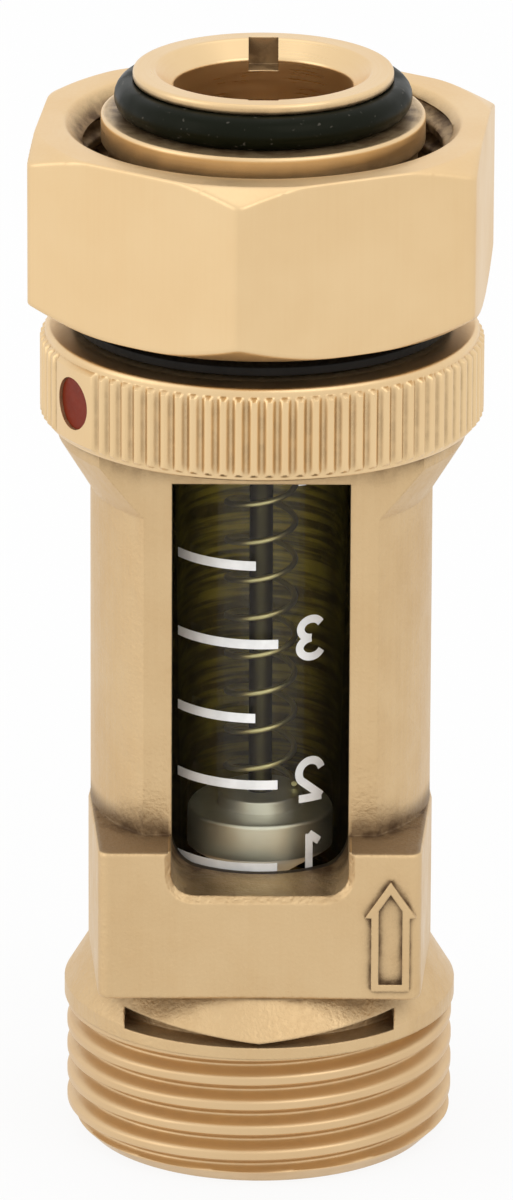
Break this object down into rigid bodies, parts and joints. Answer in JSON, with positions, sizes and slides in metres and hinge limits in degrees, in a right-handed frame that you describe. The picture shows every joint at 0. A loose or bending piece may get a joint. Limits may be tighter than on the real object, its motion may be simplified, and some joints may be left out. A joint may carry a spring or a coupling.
{
  "type": "flow meter",
  "caption": "In-line flow meter: forged brass body with a sight window over a glass tube and float, knurled regulating ring, male thread below and union nut above.",
  "frame": {"origin": "centre of the inlet thread's end face, which is the bottom centre of the bounding box", "axes": "+Z along the flow, towards the union nut; the sight window faces -Y"},
  "size_m": [0.0314, 0.0344, 0.0754],
  "materials": {
    "forged_brass": "fine-blasted forging",
    "turned_brass": "satin, turned",
    "knurled_brass": "knurled, bright crests",
    "tube_glass": "clear, polished",
    "float_steel": "satin",
    "spring_steel": "drawn wire",
    "black_rubber": "smooth, lightly greased",
    "black_plastic": "matt",
    "red_plastic": "gloss"
  },
  "bodies": {
    "housing": {"body": "forged_brass", "sight_tube": "tube_glass", "tube_gasket_lower": "black_rubber", "tube_gasket_upper": "black_rubber", "inlet_guide": "turned_brass", "inlet_retainer": "spring_steel", "guide_rod": "spring_steel", "float_spring": "spring_steel", "throttle_seat": "turned_brass", "slide_washer": "black_plastic", "tailpiece": "turned_brass", "tailpiece_oring": "black_rubber", "nut_snap_ring": "spring_steel"},
    "float": {"float": "float_steel"},
    "regulator": {"regulating_ring": "knurled_brass", "position_dot": "red_plastic", "drive_pin_front": "spring_steel", "drive_pin_rear": "spring_steel", "throttle_rotor": "black_plastic", "rotor_oring_lower": "black_rubber", "rotor_oring_upper": "black_rubber", "ring_friction_oring": "black_rubber"},
    "nut": {"union_nut": "turned_brass"}
  },
  "joints": [
    {"name": "float_slide", "type": "slide", "parent": "housing", "child": "float", "axis": [0, 0, 1], "range_m": [0, 0.0276], "stiffness_N_per_m": 12, "springref_m": -0.004, "deforming": ["float_spring"]},
    {"name": "ring_turn", "type": "hinge", "parent": "housing", "child": "regulator", "pos_m": [0, 0, 0.05435], "axis": [0, 0, 1], "range_deg": [0, 90]},
    {"name": "nut_spin", "type": "hinge", "parent": "housing", "child": "nut", "pos_m": [0, 0, 0.0655], "axis": [0, 0, 1], "continuous": true}
  ]
}
